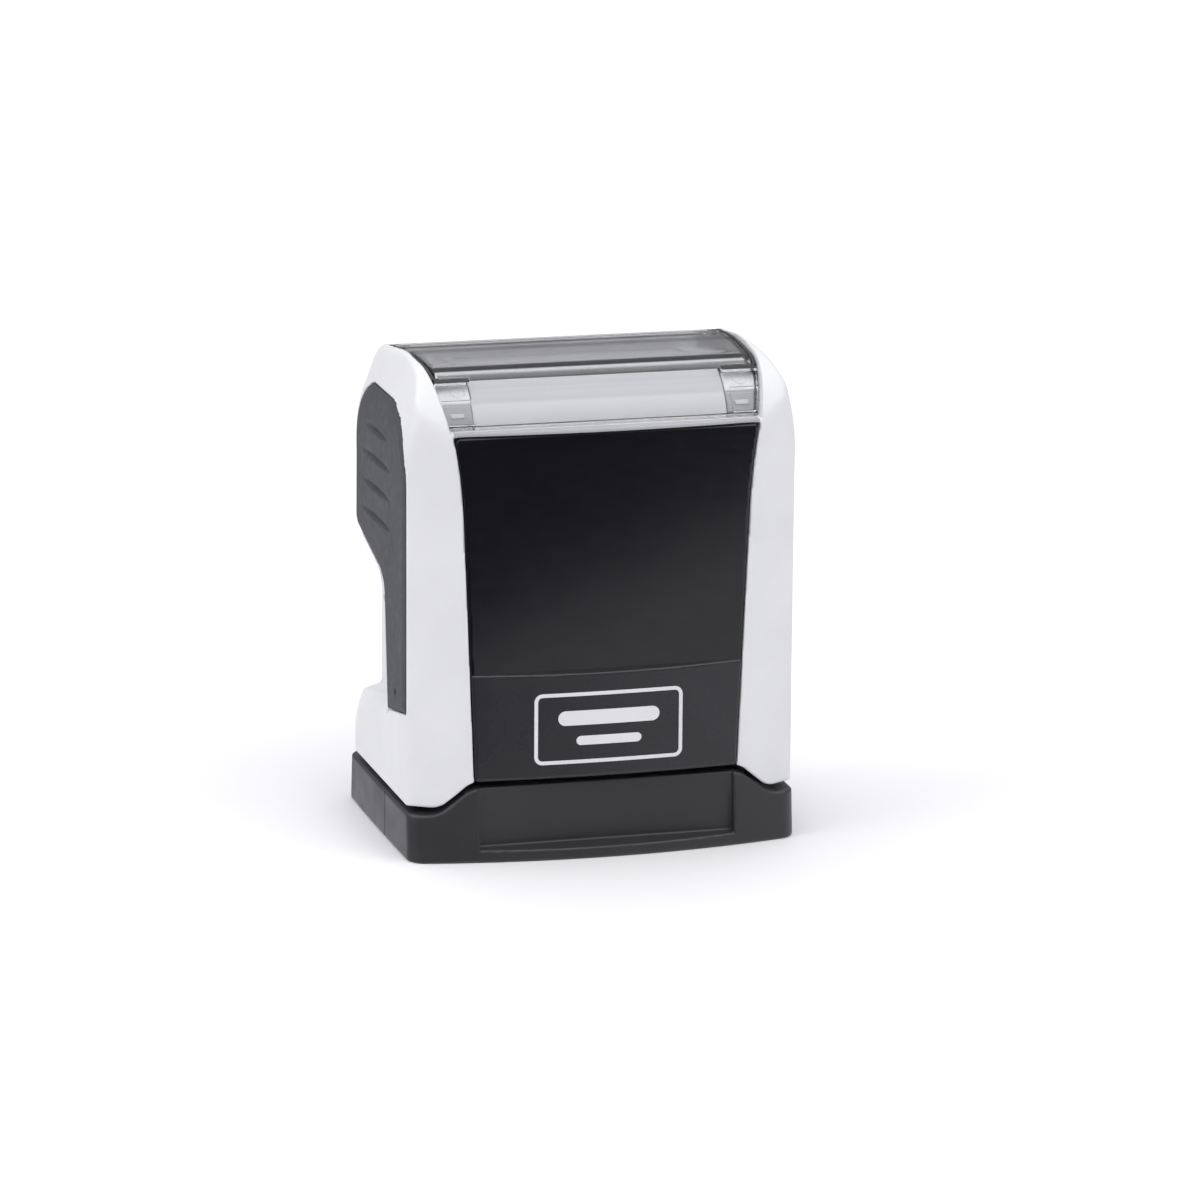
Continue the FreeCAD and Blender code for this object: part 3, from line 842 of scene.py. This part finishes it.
def make_window_marks(clear, dark):
    """Round moulding marks on the clear end pads, and the dark hooks in the slots above them."""
    angle = math.radians(MARK_ANGLE)
    level = Vector((1, 0, 0))
    rising = Vector((0, math.sin(angle), math.cos(angle)))
    y = -(WINDOW_DEPTH - WINDOW_R) - WINDOW_R * math.cos(angle)
    z = WINDOW_TOP - WINDOW_R + WINDOW_R * math.sin(angle)
    low, high = SLOT_ANGLES
    for side, word in ((-1, "left"), (1, "right")):
        ring = ring_mesh(f"{word}_round_mark", MARK_R, 0.05, level, rising, (side * MARK_X, y, z))
        place(ring, "window", "window_clear", clear)

        def hook_field(x, y, z, side=side):
            bend = window_angle(y, z)
            band = slab(bend, low + 0.2, high - 0.2) * OUTER_DEGREE
            band = np.maximum(band, slab(side * x, INSERT_X, RECESS_X[1]))
            return both(band, slab(window_arch(y, z), -0.78, -0.06), 0.05)

        inner, outer = sorted((side * 14.0, side * 18.0))
        box = (inner, -10.2, 50.0), (outer, -8.0, 52.0)
        hook = moulded(f"{word}_slot_hook", hook_field, *box, 0.08, 0.3)
        place(hook, "window", "tray_grey", dark)


def insert_field(x, y, z):
    """Pale moulding behind the clear end, stepped like the cover in front of it."""
    ax = np.abs(x)
    arch = window_arch(y, z) + WINDOW_WALL + INSERT_GAP
    bend = window_angle(y, z)
    step = 0.2 * ramp(bend, PAD_ANGLE, PAD_ANGLE + 2)
    block = both(slab(arch, -1.0, step - 0.2), slab(ax, INSERT_X, window_half(y, z) - 0.2), 0.15)
    block = np.maximum(block, (bend - SLOT_ANGLES[1] + 1.0) * INSERT_DEGREE)
    return np.maximum(block, WINDOW_LOW + 0.1 - z)


def clip_field(x, y, z):
    """Small bar on the recessed part of the insert."""
    arch = window_arch(y, z) + WINDOW_WALL + INSERT_GAP
    bar = box_field(x, y, z, (14.9, -14.0, 47.45), (16.4, -10.0, 47.85), 0.12)
    return both(bar, slab(arch, -0.4, -0.03), 0.08)


def rail_field(x, y, z):
    """Dark edging of the clear top: a strip along each end, a web below it, and a front bar."""
    ax = np.abs(x)
    bend = window_angle(y, z)
    arch = window_arch(y, z)
    end = window_half(y, z) - 0.12
    strip = both(slab(arch, -1.5, -0.04), slab(ax, end - 0.42, end), 0.06)
    web_top = -1.38
    web_x = 14.0 + 2.5 * np.clip((bend - 64) / 14, 0, 1)
    web = np.maximum(slab(arch, -2.1, web_top), slab(ax, web_x, end))
    edging = np.maximum(np.minimum(strip, web), (SLOT_ANGLES[1] - 0.6 - bend) * INSERT_DEGREE)
    bar = slab(bend, CARD_ANGLE + 0.5, CARD_ANGLE + 11) * CARD_DEGREE
    bar = np.maximum(slab(arch, -1.8, web_top), bar)
    return np.minimum(edging, np.maximum(bar, ax - 16.6))


def make_rails(material):
    low = (-19.0, -10.0, 47.0)
    high = (19.0, WINDOW_DEPTH, WINDOW_TOP + WINDOW_CROWN)
    rails = moulded("window_rails", rail_field, low, high, 0.14, 0.25)
    place(rails, "window", "tray_grey", material)


def liner_field(x, y, z):
    """Thin arched shelf over the tray's well, below the clear top."""
    arch = window_arch(y, z)
    sheet = both(slab(arch, -2.6, -2.2), np.abs(x) - window_half(y, z) + 0.25, 0.1)
    return np.maximum(sheet, (CARD_ANGLE + 6 - window_angle(y, z)) * LINER_DEGREE)


def make_liner(material):
    low = (-18.8, -8.0, 47.0)
    high = (18.8, WINDOW_DEPTH, WINDOW_TOP)
    liner = moulded("tray_shelf", liner_field, low, high, 0.16, 0.2)
    place(liner, "handle", "tray_grey", material)


def sill_field(x, y, z):
    """Thin grey strip on the lip between the front panel and the window."""
    strip = both(bulge_field(x, y) + 0.12, y + WINDOW_DEPTH + 0.05, 0.05)
    strip = np.maximum(strip, np.abs(x) - panel_half(z) + 0.15)
    return both(strip, slab(z, LEDGE_TOP - 0.25, LEDGE_TOP + 0.05), 0.04)


def make_sill(material):
    low = (-17.3, -PANEL_BULGE, LEDGE_TOP - 0.3)
    high = (17.3, -WINDOW_DEPTH, LEDGE_TOP + 0.1)
    sill = moulded("window_sill", sill_field, low, high, 0.09, 0.2)
    place(sill, "handle", "tray_grey", material)


def latch_field(x, y, z):
    """Strips that hold the window's ends, kept below its pale inserts."""
    low = (LATCH_X[0], -1.0, DECK_TOP - 0.2)
    high = (LATCH_X[1], LATCH_Y, LATCH_TOP)
    strip = box_field(np.abs(x), np.abs(y), z, low, high, 0.15)
    well = np.maximum(np.abs(y) - 6.0, DECK_TOP + 1.6 - z)
    return both(without(strip, well, 0.15), window_arch(y, z) + 2.75, 0.15)


def make_latches(material):
    low = (-16.7, -10.7, DECK_TOP - 0.3)
    high = (16.7, 10.7, 49.2)
    latches = moulded("latch_strips", latch_field, low, high, 0.2, 0.3)
    place(latches, "handle", "shell_white", material, "window_latches")


def make_inserts(material, bar_material):
    low = (END_BLOCK_X, -WINDOW_DEPTH, WINDOW_LOW)
    high = (18.3, -6.0, WINDOW_TOP)
    right = moulded("right_window_insert", insert_field, low, high, 0.1, 0.2)
    left = mirrored(right, "left_window_insert")
    place(right, "window", "card_white", material)
    place(left, "window", "card_white", material)
    clip = moulded("right_clip_bar", clip_field, (14.8, -13.0, 47.3), (16.5, -10.0, 48.0), 0.07, 0.4)
    place(clip, "window", "card_white", bar_material)
    place(mirrored(clip, "left_clip_bar"), "window", "card_white", bar_material)


def card_field(x, y, z):
    arch = window_arch(y, z) + WINDOW_WALL
    sheet = np.maximum(slab(arch, -0.35, -0.1), np.abs(x) - CARD_HALF)
    sheet = np.maximum(sheet, (window_angle(y, z) - CARD_ANGLE) * CARD_DEGREE)
    return np.maximum(sheet, WINDOW_LOW + 0.05 - z)


def make_card(material):
    low = (-END_BLOCK_X, -WINDOW_DEPTH, WINDOW_LOW)
    high = (END_BLOCK_X, -6.0, WINDOW_TOP)
    card = moulded("bent_card", card_field, low, high, 0.12, 0.15)
    place(card, "window", "card_white", material, "index_card")


PRINT_LIFT = 0.03


def print_strip(name, columns, material):
    """White ink on the bulged panel: a strip through columns of x, lowest z and highest z."""
    verts = []
    faces = []
    for x, low, high in columns:
        y = FRONT_R - PANEL_BULGE - math.sqrt(FRONT_R ** 2 - x * x) - PRINT_LIFT
        verts += [(x * MM, y * MM, low * MM), (x * MM, y * MM, high * MM)]
    for i in range(len(columns) - 1):
        a = 2 * i
        faces.append((a, a + 2, a + 3, a + 1))
    ink_piece(name, verts, faces, material)


def bar_columns(x0, x1, z, half):
    """Columns of a bar with round ends."""
    columns = []
    for i in range(9):
        t = math.pi / 2 * i / 8
        columns.append((x0 + half * (1 - math.cos(t)), z - half * math.sin(t), z + half * math.sin(t)))
    for i in range(1, 12):
        columns.append((x0 + half + (x1 - x0 - 2 * half) * i / 12, z - half, z + half))
    columns += [(x0 + x1 - x, low, high) for x, low, high in reversed(columns[:9])]
    return columns


def frame_ring(name, centre_z, half_x, half_z, corner, line, material):
    """White ink in a rounded rectangle, as a ring of quads on the bulged panel."""
    verts = []
    outline = []
    for cx, cz, start in ((1, 1, 0), (-1, 1, 90), (-1, -1, 180), (1, -1, 270)):
        for i in range(9):
            t = math.radians(start + 90 * i / 8)
            outline.append((cx * (half_x - corner), cz * (half_z - corner), math.cos(t), math.sin(t)))
    dense = []
    for (ax, az, ac, asn), (bx, bz, bc, bsn) in zip(outline, outline[1:] + outline[:1]):
        steps = 12 if abs(ax - bx) + abs(az - bz) > 1 else 1
        for i in range(steps):
            q = i / steps
            centre = ax + (bx - ax) * q, az + (bz - az) * q
            dense.append((*centre, ac + (bc - ac) * q, asn + (bsn - asn) * q))
    for x, z, c, n in dense:
        for reach in (corner - line, corner):
            px = x + reach * c
            pz = centre_z + z + reach * n
            y = FRONT_R - PANEL_BULGE - math.sqrt(FRONT_R ** 2 - px * px) - PRINT_LIFT
            verts.append((px * MM, y * MM, pz * MM))
    count = len(dense)
    faces = [(2 * i, 2 * i + 1, 2 * ((i + 1) % count) + 1, 2 * ((i + 1) % count)) for i in range(count)]
    ink_piece(name, verts, faces, material)


def ink_piece(name, verts, faces, material):
    thing = mesh_object(name, np.array(verts), np.array(faces))
    thick = thing.modifiers.new("ink", "SOLIDIFY")
    thick.thickness = 0.06 * MM
    thick.offset = -1
    applied(thing)
    place(thing, "handle", "shell_white", material)


def make_print(material):
    """A plain label mark with no lettering: two bars in a rounded frame."""
    size = {"centre_z": 14.2, "half_x": 8.2, "half_z": 3.9, "corner": 0.9, "line": 0.4}
    frame_ring("label_frame", material=material, **size)
    print_strip("label_bar_wide", bar_columns(-5.6, 5.6, z=15.3, half=0.8), material)
    print_strip("label_bar_short", bar_columns(-3.6, 3.6, z=12.8, half=0.5), material)


def make_spring(material):
    """Return spring between the frame's roof and the deck."""
    low = cad("return_spring", 0, 2)
    high = cad("return_spring", 1, 2)
    wire = 0.3
    radius = cad("return_spring", 1, 0) - wire
    turns = 6.5
    rounds = 26
    sides = 8
    count = int(turns * rounds)
    verts = []
    faces = []
    for i in range(count + 1):
        t = i / count
        angle = math.tau * turns * t
        climb = min(max((t - 0.08) / 0.84, 0), 1)
        z = low + wire + (high - low - 2 * wire) * climb
        for j in range(sides):
            q = math.tau * j / sides
            out = radius + wire * math.cos(q)
            height = (z + wire * math.sin(q)) * MM
            verts.append((out * math.cos(angle) * MM, out * math.sin(angle) * MM, height))
    for i in range(count):
        for j in range(sides):
            a = i * sides + j
            b = i * sides + (j + 1) % sides
            faces.append((a, a + sides, b + sides, b))
    mesh = bpy.data.meshes.new("coil_spring")
    caps = [tuple(range(sides)), tuple(count * sides + j for j in reversed(range(sides)))]
    mesh.from_pydata(verts, [], faces + caps)
    mesh.update()
    spring = bpy.data.objects.new("coil_spring", mesh)
    bpy.context.scene.collection.objects.link(spring)
    mesh.polygons.foreach_set("use_smooth", [True] * len(mesh.polygons))
    mesh.materials.append(material)
    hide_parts("return_spring")
    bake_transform(spring)


def paint_nodes(materials):
    """Materials of the CAD nodes that are shown as they are."""
    for node, material in materials.items():
        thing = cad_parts[node]
        thing.data.materials.clear()
        thing.data.materials.append(material)


def soften_edges(nodes):
    """Small bevels on the box-like CAD nodes."""
    for node in nodes:
        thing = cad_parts[node]
        weld = thing.modifiers.new("join", "WELD")
        weld.merge_threshold = 0.002 * MM
        bevel = thing.modifiers.new("soften", "BEVEL")
        bevel.width = 0.14 * MM
        bevel.segments = 2
        bevel.limit_method = "ANGLE"
        bevel.angle_limit = math.radians(50)


# ---- stage ----

def make_floor():
    made = Material("pale_floor", (0.88, 0.88, 0.89), 0.7)
    made.tint(made.noise(60.0), (0.875, 0.875, 0.885), (0.885, 0.885, 0.895))
    size = 3.0
    verts = np.array([(-size, -size, 0), (size, -size, 0), (size, size, 0), (-size, size, 0)])
    floor = mesh_object("floor", verts, np.array([(0, 1, 2, 3)]))
    floor.data.materials.append(made.material)
    floor.visible_glossy = False


def aim(thing, target):
    """Turns a light so that it shines at the target."""
    away = thing.location - Vector(target)
    thing.rotation_euler = away.to_track_quat("Z", "Y").to_euler()


def make_lights():
    """Sky that dims towards the horizon, a lower half for reflections, and wide soft suns."""
    world = bpy.data.worlds.new("studio")
    bpy.context.scene.world = world
    world.use_nodes = True
    tree = world.node_tree
    where = tree.nodes.new("ShaderNodeTexCoord").outputs["Generated"]
    parts = tree.nodes.new("ShaderNodeSeparateXYZ")
    tree.links.new(where, parts.inputs["Vector"])
    upper = blend_node(tree, parts.outputs["Z"], (0.25, 0.7), (0.22, 0.22, 0.235), (0.68, 0.68, 0.71))
    slant = tree.nodes.new("ShaderNodeVectorMath")
    slant.operation = "DOT_PRODUCT"
    slant.inputs[1].default_value = (-0.465, -0.3, 1.0)
    tree.links.new(where, slant.inputs[0])
    bright = (0.90, 0.90, 0.96)
    dim = (0.03, 0.03, 0.04)
    lower = blend_node(tree, slant.outputs["Value"], (-0.084, -0.073), bright, dim)
    sky = tree.nodes["Background"]
    whole = blend_node(tree, parts.outputs["Z"], (-0.06, 0.0), (0, 0, 0), (1, 1, 1))
    tree.links.new(lower, whole.node.inputs["A"])
    tree.links.new(upper, whole.node.inputs["B"])
    tree.links.new(whole, sky.inputs["Color"])
    sun("key", (0.40, -0.52, 0.82), 1.1, 60)
    sun("overhead", (-0.3, 0.1, 1.0), 1.0, 60)
    sun("left_fill", (-0.95, -0.1, 0.42), 0.78, 50)
    sun("rim", (0.26, 0.62, 0.74), 0.2, 70)


def blend_node(tree, value, limits, first, second):
    """Colour that goes from first to second while value goes through limits."""
    share = tree.nodes.new("ShaderNodeMapRange")
    share.inputs["From Min"].default_value = limits[0]
    share.inputs["From Max"].default_value = limits[1]
    tree.links.new(value, share.inputs["Value"])
    node = tree.nodes.new("ShaderNodeMix")
    node.data_type = "RGBA"
    node.inputs["A"].default_value = (*first, 1)
    node.inputs["B"].default_value = (*second, 1)
    tree.links.new(share.outputs["Result"], node.inputs["Factor"])
    return node.outputs["Result"]


def sun(name, where, strength, angle):
    """Even light from a wide soft source far away."""
    data = bpy.data.lights.new(name, "SUN")
    data.energy = strength
    data.angle = math.radians(angle)
    light = bpy.data.objects.new(name, data)
    bpy.context.scene.collection.objects.link(light)
    light.location = where
    aim(light, (0, 0, 0))


def make_camera():
    """The camera looks down a little from the front left, from about 0.65 m."""
    data = bpy.data.cameras.new("camera")
    data.sensor_width = 36.0
    data.lens = 178.9
    camera = bpy.data.objects.new("camera", data)
    bpy.context.scene.collection.objects.link(camera)
    bpy.context.scene.camera = camera
    yaw = math.radians(15.83)
    pitch = math.radians(13.76)
    roll = math.radians(0.43)
    ahead = Vector((math.sin(yaw) * math.cos(pitch), math.cos(yaw) * math.cos(pitch), -math.sin(pitch)))
    level = Vector((math.cos(yaw), -math.sin(yaw), 0))
    upright = level.cross(ahead)
    right = level * math.cos(roll) + upright * math.sin(roll)
    up = upright * math.cos(roll) - level * math.sin(roll)
    target = Vector((0, 0, 0.028))
    distance = 0.6468
    side = 0.00315
    rise = 0.00358
    place_at = target + right * side - up * rise - ahead * distance
    turn = Matrix((right, up, -ahead)).transposed().to_4x4()
    camera.matrix_world = Matrix.Translation(place_at) @ turn


def main():
    bpy.context.scene.view_settings.view_transform = "Standard"
    make_camera()
    make_lights()
    make_floor()
    white = white_shell_material()
    gloss = gloss_panel_material()
    black = black_cap_material()
    dark = moulded_plastic("dark_moulding", (0.02, 0.02, 0.022), 0.45)
    grey = moulded_plastic("grey_moulding", (0.10, 0.10, 0.11), 0.45)
    pale_grey = moulded_plastic("pale_grey_moulding", (0.40, 0.40, 0.42), 0.45)
    steel = steel_material()
    make_shell(white)
    make_grips(grip_material())
    satin = satin_panel_material()
    make_front_panels(gloss, satin)
    make_cap(black)
    clear = window_material()
    make_window(clear)
    make_window_marks(clear, dark)
    make_card(card_material())
    make_rails(dark)
    make_liner(pale_grey)
    make_latches(pale_grey)
    make_sill(pale_grey)
    make_inserts(insert_material(), white)
    make_print(white)
    make_spring(steel)
    paint_nodes({
        "back_upper_panel": gloss, "back_lower_panel": satin, "card_tray": pale_grey,
        "axle": steel, "die_carrier": grey, "cam_pins": steel, "die_plate": grey,
        "text_rubber": rubber_material(), "ink_cartridge": dark, "ink_pad": felt_material(),
        "left_lock_button": grey, "right_lock_button": grey, "inner_frame": dark,
        "foot_ring": dark,
    })
    soften_edges((
        "back_upper_panel", "back_lower_panel", "inner_frame", "foot_ring",
        "ink_cartridge", "left_lock_button", "right_lock_button", "die_plate",
    ))


main()
